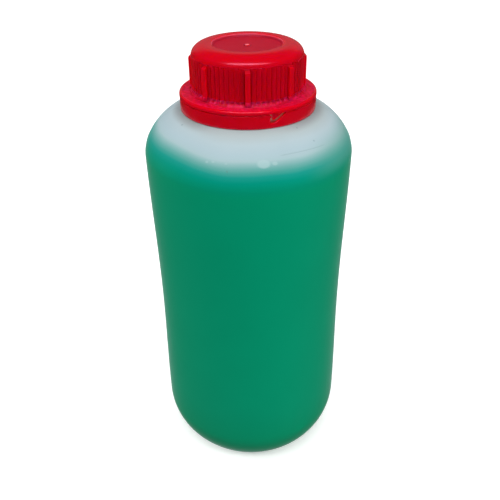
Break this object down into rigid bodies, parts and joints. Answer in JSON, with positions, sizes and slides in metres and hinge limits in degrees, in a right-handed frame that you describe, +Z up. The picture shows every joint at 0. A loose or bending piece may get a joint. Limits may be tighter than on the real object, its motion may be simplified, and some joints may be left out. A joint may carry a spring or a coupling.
{
  "type": "lab bottle",
  "caption": "Round wide-shouldered plastic bottle filled with green solution, closed by a red ribbed screw cap with a tamper-evident band.",
  "frame": {"origin": "on the bottle's axis, on the surface that it stands on", "axes": "+Z up along the bottle's axis, -Y towards the viewer, +X to the viewer's right"},
  "size_m": [0.0882, 0.0882, 0.2058],
  "materials": {
    "natural_plastic": "milky translucent, satin",
    "green_solution": "clear liquid",
    "red_plastic": "satin moulded",
    "white_foam": "fine closed-cell foam"
  },
  "bodies": {
    "bottle": {"bottle": "natural_plastic", "liquid": "green_solution"},
    "tamper_band": {"tamper_band": "red_plastic"},
    "cap": {"screw_cap": "red_plastic", "liner": "white_foam"}
  },
  "joints": [
    {"name": "cap_turn", "type": "hinge", "parent": "bottle", "child": "tamper_band", "pos_m": [0, 0, 0.183], "axis": [0, 0, 1], "range_deg": [0, 900]},
    {"name": "cap_lift", "type": "slide", "parent": "tamper_band", "child": "cap", "axis": [0, 0, 1], "range_m": [0, 0.0106]}
  ],
  "couplings": [
    {"joint": "cap_lift", "follows": "cap_turn", "m_per_rad": 0.00066845}
  ]
}
